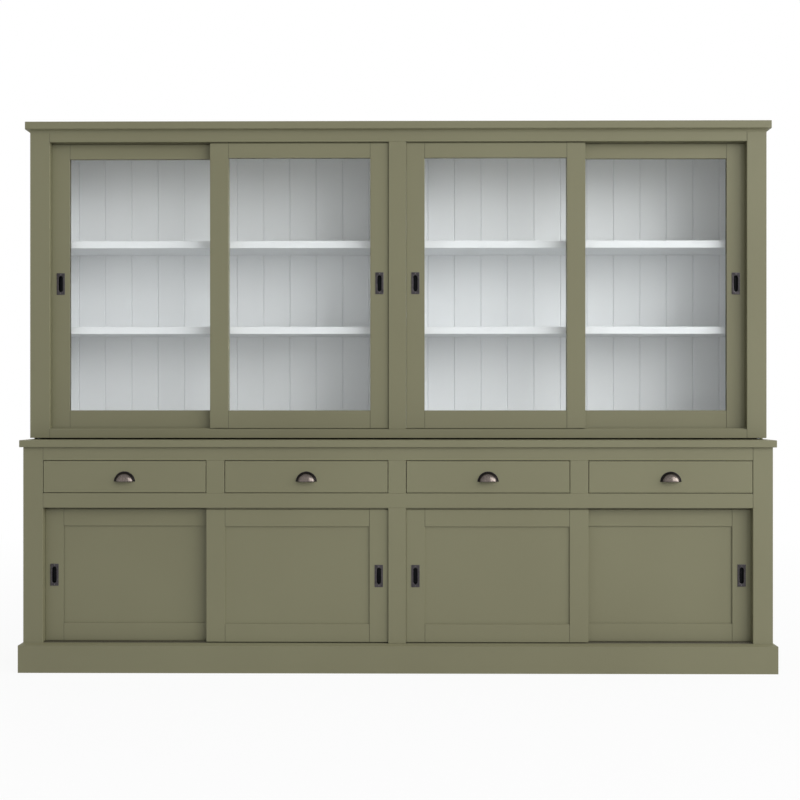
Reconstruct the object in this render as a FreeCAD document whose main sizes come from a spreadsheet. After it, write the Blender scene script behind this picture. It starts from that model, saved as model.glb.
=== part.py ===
# A country-style display cabinet in two cases. The wide base has four drawers over four
# sliding panel doors. The shallower upper case has four sliding glass doors, shelves and a
# boarded back.
#
# Millimetres. +Z is up, +X is to the right of a person who faces the cabinet, and -Y points
# at that person. The origin is on the floor, midway between the two sides, and midway
# between the back of the cabinet and the front of its drawer pulls.
import FreeCAD, Part
import os
import re

doc = FreeCAD.newDocument("DisplayCabinet")
sheet = doc.addObject("Spreadsheet::Sheet", "Sizes")

# The driving dimensions
SIZES = {
    # The two cases and their face frames
    "body_width": 2966,
    "base_depth": 480,
    "upper_depth": 380,
    "post_width": 78,
    "center_post_width": 70,
    "frame_margin": 6,
    "edge_ease": 0.8,
    # Heights of the base, from the floor up
    "plinth_height": 116,
    "plinth_bevel": 8,
    "plinth_thickness": 17,
    "floor_height": 116,
    "floor_thickness": 18,
    "base_opening": 536,
    "mid_rail_height": 58,
    "drawer_opening": 130,
    "base_top_rail": 52,
    "worktop_thickness": 28,
    "worktop_overhang": 13,
    "worktop_ease": 1.5,
    # Heights of the upper case, from the worktop up
    "shadow_gap": 6,
    "bottom_rail_height": 36,
    "upper_opening": 1158,
    "upper_top_rail": 50,
    "cornice_thickness": 30,
    "cornice_overhang": 17,
    "cornice_bevel": 14,
    "cornice_lip": 1,
    # Panels of the cases
    "side_thickness": 22,
    "partition_thickness": 24,
    "base_back_thickness": 9,
    "upper_back_thickness": 12,
    "back_rebate": 11,
    "board_pitch": 113.5,
    "groove_width": 6,
    "groove_depth": 3,
    "bearer_thickness": 22,
    "bearer_spacing": 720,
    # Shelves and the battens under their ends
    "shelf_thickness": 29.5,
    "shelf_setback": 15,
    "shelf_end_gap": 1,
    "base_shelf_rise": 274,
    "lower_shelf_rise": 416,
    "top_shelf_rise": 767,
    "batten_width": 18,
    "batten_height": 24,
    "batten_setback": 20,
    # Drawers
    "muntin_width": 72,
    "drawer_gap": 2.5,
    "drawer_front_thickness": 20,
    "drawer_side_thickness": 12,
    "drawer_headroom": 16,
    "drawer_rear_space": 26,
    "drawer_clearance": 3,
    "drawer_bottom_thickness": 6,
    "drawer_bottom_lift": 8,
    "drawer_bottom_groove": 5,
    "deck_thickness": 16,
    "running_gap": 0.3,
    "guide_gap": 1,
    "guide_height": 30,
    "kicker_gap": 2,
    "kicker_lap": 12,
    "stop_length": 25,
    "stop_width": 30,
    "stop_height": 20,
    # Sliding doors, which hang in pairs on two tracks
    "door_recess": 8,
    "door_thickness": 22,
    "door_gap": 5,
    "door_side_gap": 0.5,
    "stile_width": 74,
    "tongue_thickness": 8,
    "tongue_height": 14,
    "tongue_headroom": 2,
    "track_gap": 0.5,
    "runner_width": 6,
    "runner_lap": 1.5,
    "tenon_inset": 14,
    # Panel doors of the base
    "panel_door_lift": 4,
    "panel_door_head_gap": 8,
    "panel_door_top_rail": 66.5,
    "panel_door_bottom_rail": 71,
    "panel_recess": 6,
    "panel_thickness": 9,
    "panel_groove": 10,
    "panel_edge_gap": 1,
    # Glass doors of the upper case
    "glass_door_lift": 3,
    "glass_door_head_gap": 5,
    "glass_door_top_rail": 59,
    "glass_door_bottom_rail": 72,
    "glass_recess": 10,
    "glass_thickness": 4,
    "glass_rebate": 10,
    "glass_edge_gap": 1,
    "tenon_setback": 2,
    "tenon_thickness": 6,
    "tenon_length": 30,
    "tenon_end_gap": 1,
    "relief_width": 46,
    "relief_height": 1.5,
    # Flush pulls of the doors
    "pull_plate_width": 33,
    "pull_plate_height": 88,
    "pull_plate_thickness": 2,
    "pull_slot_width": 18,
    "pull_slot_height": 66,
    "pull_slot_depth": 11,
    "pull_wall": 1,
    "pull_mortise_gap": 0.3,
    "pull_plate_ease": 0.6,
    "glass_door_pull_rise": 10,
    "pull_screw_inset": 5.5,
    "pull_screw_head": 2.6,
    "pull_screw_shank": 1.3,
    "pull_screw_length": 14,
    # Cup pulls of the drawers
    "cup_radius": 42,
    "cup_cut": 2,
    "cup_projection": 24,
    "cup_flange_width": 5,
    "cup_flange_thickness": 2,
    "cup_wall": 2,
    "cup_boss_radius": 4.5,
    "cup_screw_inset": 20,
    "cup_screw_rise": 12,
    "cup_screw_shank": 2,
    "cup_screw_head": 4,
    "cup_screw_head_height": 2.5,
    "cup_screw_cover": 5.5,
    # Screws of the two backs
    "back_screw_head": 4,
    "back_screw_head_height": 1.5,
    "back_screw_shank": 1.75,
    "back_screw_length": 28,
    "back_screw_inset": 80,
    "back_screws_per_row": 4,
    "screw_gap": 0.2,
}
for row, (alias, value) in enumerate(SIZES.items(), start=1):
    sheet.set(f"A{row}", alias)
    sheet.set(f"B{row}", str(value))
    sheet.setAlias(f"B{row}", alias)
doc.recompute()

# Levels and planes that several pieces share, as formulas of the driving dimensions
HALF = "(body_width / 2)"
INNER_HALF = f"({HALF} - side_thickness)"
BACK = "((base_depth + cup_projection) / 2)"
BASE_FRONT = f"({BACK} - base_depth)"
UPPER_FRONT = f"({BACK} - upper_depth)"
FRAME_DEPTH = "(door_recess + 2 * door_thickness + door_gap + frame_margin)"
MID_RAIL_LEVEL = "(floor_height + base_opening)"
DRAWER_LEVEL = f"({MID_RAIL_LEVEL} + mid_rail_height)"
TOP_RAIL_LEVEL = f"({DRAWER_LEVEL} + drawer_opening)"
BASE_TOP = f"({TOP_RAIL_LEVEL} + base_top_rail)"
WORKTOP_TOP = f"({BASE_TOP} + worktop_thickness)"
UPPER_FOOT = f"({WORKTOP_TOP} + shadow_gap)"
UPPER_SILL = f"({UPPER_FOOT} + bottom_rail_height)"
UPPER_HEAD = f"({UPPER_SILL} + upper_opening)"
UPPER_TOP = f"({UPPER_HEAD} + upper_top_rail)"

# Each case has two bays, from the centre post out to a corner post.
BAY_INNER = "(center_post_width / 2)"
BAY_OUTER = f"({HALF} - post_width)"
BAY_WIDTH = f"({BAY_OUTER} - {BAY_INNER})"
DRAWER_WIDTH = f"(({BAY_WIDTH} - muntin_width) / 2)"
DRAWER_SIDE_HEIGHT = "(drawer_opening - drawer_headroom)"
DRAWER_LENGTH = ("(base_depth - base_back_thickness - drawer_front_thickness - stop_length"
                 " - drawer_rear_space)")
DOOR_WIDTH = f"(({BAY_WIDTH} + stile_width) / 2 - door_side_gap)"

# From left to right, each drawer and each door has its left edge here.
DRAWER_EDGES = {
    "left_outer": f"(-{BAY_OUTER})",
    "left_inner": f"(-{BAY_INNER} - {DRAWER_WIDTH})",
    "right_inner": BAY_INNER,
    "right_outer": f"({BAY_OUTER} - {DRAWER_WIDTH})",
}
DOOR_EDGES = {
    "left_outer": f"(-{BAY_OUTER} + door_side_gap)",
    "left_inner": f"(-{BAY_INNER} - door_side_gap - {DOOR_WIDTH})",
    "right_inner": f"({BAY_INNER} + door_side_gap)",
    "right_outer": f"({BAY_OUTER} - door_side_gap - {DOOR_WIDTH})",
}

# The inner doors run on the front track, the outer doors on the rear track.
FRONT_TRACK = "door_recess"
REAR_TRACK = "(door_recess + door_thickness + door_gap)"

# The screws of a cup pull go into bosses. The far side of each boss ends halfway through the
# wall of the dome.
CUP_DOME_RADIUS = "(cup_radius - cup_flange_width)"
CUP_SCREW_SPREAD = "(cup_radius - cup_screw_inset)"
CUP_BOSS_FAR_SIDE = f"(sqrt({CUP_SCREW_SPREAD} ^ 2 + cup_screw_rise ^ 2) + cup_boss_radius)"
CUP_BOSS_LENGTH = (
    f"((cup_projection - cup_wall / 2)"
    f" * sqrt(1 - {CUP_BOSS_FAR_SIDE} ^ 2 / ({CUP_DOME_RADIUS} - cup_wall / 2) ^ 2))")
CUP_SCREW_REACH = f"({CUP_BOSS_LENGTH} - cup_screw_cover)"

SIDES = {"left": -1, "right": 1}
TOWARDS_FRONT = FreeCAD.Rotation(FreeCAD.Vector(1, 0, 0), 90)
SUB_PARTS = []


def in_sheet(formula):
    """The formula with each size's name pointing at its cell."""
    size_name = r"\b[a-z][a-z_]*\b(?!\()"
    return re.sub(size_name, lambda found: "Sizes." + found.group(0), formula)


def bind(feature, formulas):
    """Tie settings of a feature to formulas of the driving dimensions."""
    for setting, formula in formulas.items():
        feature.setExpression(setting, in_sheet(formula))


def place(feature, x, y, z):
    """Tie the place of a feature's own origin to three formulas."""
    bind(feature, {"Placement.Base.x": x, "Placement.Base.y": y, "Placement.Base.z": z})


def new_body(name):
    """An empty body for one solid piece."""
    return doc.addObject("PartDesign::Body", name)


def box(body, kind, corner, size):
    """Add a box to a body, or cut one from it, from its left front lower corner."""
    feature = body.newObject(f"PartDesign::{kind}Box", f"{kind}Box")
    bind(feature, dict(zip(("Length", "Width", "Height"), size)))
    place(feature, *corner)
    return feature


def rod(body, kind, x, rear, z, radius, length):
    """Add or cut a round bar that starts at its rear end and points at the front."""
    feature = body.newObject(f"PartDesign::{kind}Cylinder", f"{kind}Cylinder")
    feature.Placement.Rotation = TOWARDS_FRONT
    bind(feature, {"Radius": radius, "Height": length})
    place(feature, x, rear, z)
    return feature


def cone(body, kind, x, rear, z, rear_radius, front_radius, length):
    """Add or cut a cone that starts at its rear end and points at the front."""
    feature = body.newObject(f"PartDesign::{kind}Cone", f"{kind}Cone")
    feature.Placement.Rotation = TOWARDS_FRONT
    bind(feature, {"Radius1": rear_radius, "Radius2": front_radius, "Height": length})
    place(feature, x, rear, z)
    return feature


def obround(body, kind, x, rear, z, width, height, depth):
    """Add or cut an upright slot shape with round ends, from its rear end to the front."""
    straight = f"({height} - {width})"
    corner = (f"{x} - {width} / 2", f"{rear} - {depth}", f"{z} - {straight} / 2")
    box(body, kind, corner, (width, depth, straight))
    for side in ("-", "+"):
        rod(body, kind, x, rear, f"{z} {side} {straight} / 2", f"{width} / 2", depth)


def ease_edges(body, size="edge_ease"):
    """Take the sharp edges off everything that the body holds so far."""
    blank = body.Tip
    chamfer = body.newObject("PartDesign::Chamfer", "EasedEdges")
    chamfer.Base = (blank, [""])
    chamfer.UseAllEdges = True
    bind(chamfer, {"Size": size})


def board(name, corner, size, ease="edge_ease"):
    """A squared timber with eased edges."""
    body = new_body(name)
    box(body, "Additive", corner, size)
    ease_edges(body, ease)
    return body


def sheet_panel(name, corner, size):
    """A plain square-edged panel or strip."""
    panel = doc.addObject("Part::Box", name)
    bind(panel, dict(zip(("Length", "Width", "Height"), size)))
    place(panel, *corner)
    return panel


def sub_part(label, pieces):
    """Name one piece, or a group of separate pieces, as a sub-part of the cabinet."""
    result = pieces[0]
    if len(pieces) > 1:
        result = doc.addObject("Part::Compound", label)
        result.Links = pieces
    result.Label = label
    SUB_PARTS.append(result)


def mitred_boards(name, front, thickness, outer_levels, inner_levels):
    """Three boards round the front and the sides of a case, mitred at the corners.

    The levels are the bottom and top of a board at its outer and at its inner face.
    """
    outer_half = f"({HALF} + {thickness})"
    outer_front = f"({front} - {thickness})"
    spans = {
        "front": (f"-{outer_half}", outer_half, f"-{HALF}", HALF),
        "left": (f"-{BACK}", f"-{outer_front}", f"-{BACK}", f"-{front}"),
        "right": (outer_front, BACK, front, BACK),
    }
    turns = {"front": 0, "left": -90, "right": 90}
    places = {
        "front": ("0", outer_front, "0"),
        "left": (f"-{outer_half}", "0", "0"),
        "right": (outer_half, "0", "0"),
    }
    boards = []
    for side, (outer_start, outer_end, inner_start, inner_end) in spans.items():
        body = new_body(f"{name}_{side}")
        wedge = body.newObject("PartDesign::AdditiveWedge", "Mitred")
        wedge.Placement.Rotation = FreeCAD.Rotation(FreeCAD.Vector(0, 0, 1), turns[side])
        bind(wedge, {"Xmin": outer_start, "Xmax": outer_end})
        bind(wedge, {"X2min": inner_start, "X2max": inner_end})
        bind(wedge, {"Ymin": "0", "Ymax": thickness})
        bind(wedge, {"Zmin": outer_levels[0], "Zmax": outer_levels[1]})
        bind(wedge, {"Z2min": inner_levels[0], "Z2max": inner_levels[1]})
        place(wedge, *places[side])
        boards.append(body)
    return boards


def left_edge(side, near, width):
    """Left edge of a piece of this width, whose face nearest the middle is at this distance."""
    if side == "left":
        return f"(-({near}) - ({width}))"
    return f"({near})"


def track_grooves(rail, front, level, head_gap):
    """Cut the two grooves in the underside of a rail that guide the tongues of the doors."""
    width = "(tongue_thickness + 2 * track_gap)"
    depth = f"(tongue_height - {head_gap} + tongue_headroom)"
    for track in (FRONT_TRACK, REAR_TRACK):
        middle = f"({front} + {track} + door_thickness / 2)"
        corner = (f"-{BAY_OUTER}", f"{middle} - {width} / 2", level)
        box(rail, "Subtractive", corner, (f"2 * {BAY_OUTER}", width, depth))


def door_runners(case, front, level, lift):
    """The four strips that the doors of a case, lifted this far off the sill, slide along."""
    strips = []
    for side in SIDES:
        for track_name, track in (("front", FRONT_TRACK), ("rear", REAR_TRACK)):
            y = f"{front} + {track} + (door_thickness - runner_width) / 2"
            corner = (left_edge(side, BAY_INNER, BAY_WIDTH), y, level)
            size = (BAY_WIDTH, "runner_width", f"{lift} + runner_lap")
            strips.append(sheet_panel(f"{case}_{side}_{track_name}_runner", corner, size))
    sub_part(f"{case}_door_runners", strips)


def screw_levels(case):
    """Heights of the screws of one row, evenly spaced from the case's floor to its top."""
    count = SIZES["back_screws_per_row"]
    bottom, top = {"base": ("floor_height", BASE_TOP), "upper": (UPPER_SILL, UPPER_TOP)}[case]
    low = f"({bottom} + back_screw_inset)"
    high = f"({top} - back_screw_inset)"
    return [f"({low} + ({high} - {low}) * {step} / {count - 1})" for step in range(count)]


def back_screw_rows():
    """Places of the three screw rows of a back: in the two sides and in the partition."""
    rebate_middle = f"({INNER_HALF} + back_rebate / 2)"
    return {"left": f"(-{rebate_middle})", "middle": "0", "right": rebate_middle}


def screw_holes(piece, x, rear, levels, depth):
    """Cut a row of round holes into a piece from its rear face."""
    for level in levels:
        radius = "(back_screw_shank + screw_gap)"
        rod(piece, "Subtractive", x, rear, level, radius, depth)


def back_screws(case):
    """The pan-head screws that hold the back of a case, with their heads let in flush."""
    screws = []
    for row, x in back_screw_rows().items():
        for index, level in enumerate(screw_levels(case)):
            screw = new_body(f"{case}_{row}_screw_{index}")
            head_inner = f"({BACK} - back_screw_head_height)"
            rod(screw, "Additive", x, BACK, level, "back_screw_head", "back_screw_head_height")
            rod(screw, "Additive", x, head_inner, level, "back_screw_shank", "back_screw_length")
            screws.append(screw)
    return screws


def back_holes(panel, case, thickness):
    """Cut the screw holes of a back, each with its counterbore for the head."""
    levels = screw_levels(case)
    for x in back_screw_rows().values():
        screw_holes(panel, x, BACK, levels, thickness)
        for level in levels:
            radius = "(back_screw_head + screw_gap)"
            rod(panel, "Subtractive", x, BACK, level, radius, "back_screw_head_height")


def case_sides(case, front, depth, back_thickness, bottom, top):
    """The two side panels of a case, rebated for its back."""
    panels = []
    height = f"({top} - {bottom})"
    rebate_front = f"({BACK} - {back_thickness})"
    for side in SIDES:
        corner = (left_edge(side, INNER_HALF, "side_thickness"), f"{front} + {FRAME_DEPTH}", bottom)
        size = ("side_thickness", f"{depth} - {FRAME_DEPTH}", height)
        panel = board(f"{case}_{side}_side", corner, size)
        rebate = (left_edge(side, INNER_HALF, "back_rebate"), rebate_front, bottom)
        box(panel, "Subtractive", rebate, ("back_rebate", back_thickness, height))
        row = back_screw_rows()[side]
        screw_holes(panel, row, rebate_front, screw_levels(case), "back_screw_length")
        panels.append(panel)
    sub_part(f"{case}_side_panels", panels)


def partition(case, front, depth, back_thickness, bottom, top):
    """The upright panel behind the centre post of a case."""
    rear = f"({BACK} - {back_thickness})"
    corner = ("-partition_thickness / 2", f"{front} + {FRAME_DEPTH}", bottom)
    run = f"({depth} - {FRAME_DEPTH} - {back_thickness})"
    piece = new_body(f"{case}_partition")
    box(piece, "Additive", corner, ("partition_thickness", run, f"{top} - {bottom}"))
    screw_holes(piece, "0", rear, screw_levels(case), "back_screw_length")
    return piece


def case_back(case, thickness, bottom, top):
    """The panel that closes a case at the rear, in the rebates of the sides."""
    half = f"({INNER_HALF} + back_rebate)"
    panel = new_body(f"{case}_back")
    corner = (f"-{half}", f"{BACK} - {thickness}", bottom)
    box(panel, "Additive", corner, (f"2 * {half}", thickness, f"{top} - {bottom}"))
    back_holes(panel, case, thickness)
    return panel


def corner_posts(case, front, bottom, top):
    """The two posts at the front corners of a case."""
    size = ("post_width", FRAME_DEPTH, f"{top} - {bottom}")
    posts = []
    for side in SIDES:
        corner = (left_edge(side, BAY_OUTER, "post_width"), front, bottom)
        posts.append(board(f"{case}_{side}_post", corner, size))
    return posts


def center_post(case, front, bottom, opening):
    """The post between the two bays of a case."""
    corner = (f"-{BAY_INNER}", front, bottom)
    return board(f"{case}_center_post", corner, ("center_post_width", FRAME_DEPTH, opening))


def face_rail(name, front, level, height):
    """A rail that runs from one corner post to the other."""
    corner = (f"-{BAY_OUTER}", front, level)
    return board(name, corner, (f"2 * {BAY_OUTER}", FRAME_DEPTH, height))


def shelf_with_battens(name, side, front, depth, back_thickness, top):
    """A shelf of one bay, and the two battens that carry its ends."""
    bay_width = f"({INNER_HALF} - partition_thickness / 2)"
    bay_edge = left_edge(side, "partition_thickness / 2", bay_width)
    shelf_front = f"({front} + {FRAME_DEPTH} + shelf_setback)"
    run = f"({depth} - {FRAME_DEPTH} - shelf_setback - {back_thickness} - shelf_end_gap)"
    bottom = f"({top} - shelf_thickness)"
    corner = (f"{bay_edge} + shelf_end_gap", shelf_front, bottom)
    size = (f"{bay_width} - 2 * shelf_end_gap", run, "shelf_thickness")
    shelf = board(f"{name}_{side}_shelf", corner, size)
    battens = []
    ends = {"left": bay_edge, "right": f"({bay_edge} + {bay_width} - batten_width)"}
    for end, x in ends.items():
        corner = (x, f"{shelf_front} + batten_setback", f"{bottom} - batten_height")
        size = ("batten_width", f"{run} - batten_setback", "batten_height")
        battens.append(sheet_panel(f"{name}_{side}_shelf_{end}_batten", corner, size))
    return shelf, battens


def base_case():
    """The base without its drawers and doors."""
    inner_front = f"({BASE_FRONT} + {FRAME_DEPTH})"
    inner_depth = f"(base_depth - {FRAME_DEPTH} - base_back_thickness)"
    floor_bottom = "(floor_height - floor_thickness)"

    plinth_face = "(plinth_height - plinth_bevel)"
    plinth = mitred_boards(
        "plinth", BASE_FRONT, "plinth_thickness", ("0", plinth_face), ("0", "plinth_height"))
    sub_part("plinth", plinth)

    bearers = []
    for name, x in (("left", "-bearer_spacing"), ("middle", "0"), ("right", "bearer_spacing")):
        corner = (f"{x} - bearer_thickness / 2", BASE_FRONT, "0")
        size = ("bearer_thickness", "base_depth - base_back_thickness", floor_bottom)
        bearers.append(sheet_panel(f"{name}_bearer", corner, size))
    sub_part("floor_bearers", bearers)

    floor = new_body("base_floor")
    box(floor, "Additive", (f"-{BAY_OUTER}", BASE_FRONT, floor_bottom),
        (f"2 * {BAY_OUTER}", FRAME_DEPTH, "floor_thickness"))
    box(floor, "Additive", (f"-{INNER_HALF}", inner_front, floor_bottom),
        (f"2 * {INNER_HALF}", inner_depth, "floor_thickness"))
    sub_part("base_floor", [floor])

    posts = corner_posts("base", BASE_FRONT, "0", BASE_TOP)
    posts.append(center_post("base", BASE_FRONT, "floor_height", "base_opening"))
    sub_part("base_posts", posts)

    mid_rail = face_rail("mid_rail", BASE_FRONT, MID_RAIL_LEVEL, "mid_rail_height")
    track_grooves(mid_rail, BASE_FRONT, MID_RAIL_LEVEL, "panel_door_head_gap")
    top_rail = face_rail("base_top_rail_board", BASE_FRONT, TOP_RAIL_LEVEL, "base_top_rail")
    sub_part("base_rails", [mid_rail, top_rail])

    bay_middle = f"({BAY_INNER} + {BAY_WIDTH} / 2)"
    muntins = []
    for name, x, width in (
            ("left", f"-{bay_middle}", "muntin_width"),
            ("center", "0", "center_post_width"),
            ("right", bay_middle, "muntin_width")):
        corner = (f"{x} - {width} / 2", BASE_FRONT, DRAWER_LEVEL)
        muntins.append(board(f"{name}_muntin", corner, (width, FRAME_DEPTH, "drawer_opening")))
    sub_part("drawer_muntins", muntins)

    case_sides("base", BASE_FRONT, "base_depth", "base_back_thickness", "0", BASE_TOP)

    back = case_back("base", "base_back_thickness", "0", BASE_TOP)
    sub_part("base_back", [back])

    worktop_corner = (f"-{HALF} - worktop_overhang", f"{BASE_FRONT} - worktop_overhang", BASE_TOP)
    worktop_size = ("body_width + 2 * worktop_overhang", "base_depth + worktop_overhang",
                    "worktop_thickness")
    sub_part("worktop", [board("worktop", worktop_corner, worktop_size, "worktop_ease")])

    door_runners("base", BASE_FRONT, "floor_height", "panel_door_lift")


def drawer_supports():
    """The decks that carry the drawers, with their side guides, kickers and stops."""
    inner_front = f"({BASE_FRONT} + {FRAME_DEPTH})"
    run = f"(base_depth - {FRAME_DEPTH} - base_back_thickness)"
    deck_width = f"({INNER_HALF} - partition_thickness / 2)"
    decks = []
    for side in SIDES:
        edge = left_edge(side, "partition_thickness / 2", deck_width)
        corner = (edge, inner_front, f"{DRAWER_LEVEL} - deck_thickness")
        decks.append(sheet_panel(f"{side}_deck", corner, (deck_width, run, "deck_thickness")))
    sub_part("drawer_decks", decks)

    # Beside each opening, a guide reaches as far as the partition is from the centre bay.
    guide_back = "((center_post_width - partition_thickness) / 2)"
    guide_width = f"({guide_back} + drawer_clearance - guide_gap)"
    kicker_width = f"({guide_back} + drawer_clearance + drawer_side_thickness)"
    kicker_level = f"({DRAWER_LEVEL} + running_gap + {DRAWER_SIDE_HEIGHT} + kicker_gap)"
    kicker_height = f"({TOP_RAIL_LEVEL} + kicker_lap - {kicker_level})"
    stop_front = f"({BASE_FRONT} + drawer_front_thickness + {DRAWER_LENGTH} + running_gap)"
    stop_inset = "(drawer_clearance + drawer_side_thickness + stop_width)"
    pieces = []
    for name, edge in DRAWER_EDGES.items():
        far = f"({edge} + {DRAWER_WIDTH})"
        for end in SIDES:
            guide_edge = f"({edge} - {guide_back})"
            kicker_edge = guide_edge
            stop_edge = f"({edge} + {stop_inset})"
            if end == "right":
                guide_edge = f"({far} + {guide_back} - {guide_width})"
                kicker_edge = f"({far} + {guide_back} - {kicker_width})"
                stop_edge = f"({far} - {stop_inset} - stop_width)"
            pieces.append(sheet_panel(
                f"{name}_{end}_guide", (guide_edge, inner_front, DRAWER_LEVEL),
                (guide_width, run, "guide_height")))
            pieces.append(sheet_panel(
                f"{name}_{end}_kicker", (kicker_edge, inner_front, kicker_level),
                (kicker_width, run, kicker_height)))
            pieces.append(sheet_panel(
                f"{name}_{end}_stop", (stop_edge, stop_front, DRAWER_LEVEL),
                ("stop_width", "stop_length", "stop_height")))
    sub_part("drawer_runners", pieces)


def upper_case():
    """The upper case without its doors."""
    inner_front = f"({UPPER_FRONT} + {FRAME_DEPTH})"
    inner_depth = f"(upper_depth - {FRAME_DEPTH} - upper_back_thickness)"

    posts = corner_posts("upper", UPPER_FRONT, UPPER_FOOT, UPPER_TOP)
    posts.append(center_post("upper", UPPER_FRONT, UPPER_SILL, "upper_opening"))
    sub_part("upper_posts", posts)

    bottom_rail = face_rail("upper_bottom_rail_board", UPPER_FRONT, UPPER_FOOT, "bottom_rail_height")
    top_rail = face_rail("upper_top_rail_board", UPPER_FRONT, UPPER_HEAD, "upper_top_rail")
    track_grooves(top_rail, UPPER_FRONT, UPPER_HEAD, "glass_door_head_gap")
    sub_part("upper_rails", [bottom_rail, top_rail])

    case_sides("upper", UPPER_FRONT, "upper_depth", "upper_back_thickness", WORKTOP_TOP, UPPER_TOP)

    floor_corner = (f"-{INNER_HALF}", inner_front, f"{UPPER_SILL} - floor_thickness")
    floor_size = (f"2 * {INNER_HALF}", inner_depth, "floor_thickness")
    sub_part("upper_floor", [sheet_panel("upper_floor", floor_corner, floor_size)])

    back = case_back("upper", "upper_back_thickness", WORKTOP_TOP, UPPER_TOP)
    cut_board_grooves(back)
    sub_part("upper_back", [back])

    cornice_corner = (f"-{HALF} - cornice_overhang", f"{UPPER_FRONT} - cornice_overhang", UPPER_TOP)
    cornice_size = ("body_width + 2 * cornice_overhang", "upper_depth + cornice_overhang",
                    "cornice_thickness")
    sub_part("cornice_board", [board("cornice_board", cornice_corner, cornice_size, "worktop_ease")])
    moulding = mitred_boards(
        "cornice_moulding", UPPER_FRONT, "cornice_overhang",
        (f"({UPPER_TOP} - cornice_lip)", UPPER_TOP), (f"({UPPER_TOP} - cornice_bevel)", UPPER_TOP))
    sub_part("cornice_moulding", moulding)

    door_runners("upper", UPPER_FRONT, UPPER_SILL, "glass_door_lift")


def cut_board_grooves(back):
    """Cut the upright V-grooves that make the back look boarded, starting at the partition."""
    face = f"({BACK} - upper_back_thickness)"
    height = f"({UPPER_TOP} - {UPPER_SILL})"
    bay_width = (SIZES["body_width"] - SIZES["partition_thickness"]) / 2 - SIZES["side_thickness"]
    count = int(bay_width / SIZES["board_pitch"])
    for side, sign in SIDES.items():
        groove = back.newObject("PartDesign::SubtractiveWedge", f"{side}_groove")
        bind(groove, {"Xmin": "-groove_width / 2", "Xmax": "groove_width / 2"})
        bind(groove, {"X2min": "0", "X2max": "0"})
        bind(groove, {"Ymin": "0", "Ymax": "groove_depth"})
        bind(groove, {"Zmin": "0", "Zmax": height, "Z2min": "0", "Z2max": height})
        place(groove, f"{sign} * (partition_thickness / 2 + board_pitch)", face, UPPER_SILL)
        pattern = back.newObject("PartDesign::LinearPattern", f"{side}_grooves")
        pattern.Originals = [groove]
        along = [plane for plane in back.Origin.OriginFeatures if plane.Role == "X_Axis"]
        pattern.Direction = (along[0], [""])
        pattern.Reversed = sign < 0
        pattern.Mode = "Spacing"
        pattern.Occurrences = count
        bind(pattern, {"Offset": "board_pitch"})
        back.Tip = pattern


def partitions_and_shelves():
    """The partition of each case, and the shelves of the four bays with their battens."""
    base = partition("base", BASE_FRONT, "base_depth", "base_back_thickness",
                     "floor_height", BASE_TOP)
    upper = partition("upper", UPPER_FRONT, "upper_depth", "upper_back_thickness",
                      UPPER_SILL, UPPER_TOP)
    sub_part("partitions", [base, upper])

    shelves = []
    battens = []
    base_top = "(floor_height + base_shelf_rise)"
    lower_top = f"({UPPER_SILL} + lower_shelf_rise)"
    highest_top = f"({UPPER_SILL} + top_shelf_rise)"
    places = (
        ("base", BASE_FRONT, "base_depth", "base_back_thickness", base_top),
        ("lower", UPPER_FRONT, "upper_depth", "upper_back_thickness", lower_top),
        ("top", UPPER_FRONT, "upper_depth", "upper_back_thickness", highest_top),
    )
    for side in SIDES:
        for name, front, depth, back_thickness, top in places:
            shelf, pair = shelf_with_battens(name, side, front, depth, back_thickness, top)
            shelves.append(shelf)
            battens.extend(pair)
    sub_part("shelves", shelves)
    sub_part("shelf_battens", battens)


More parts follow.
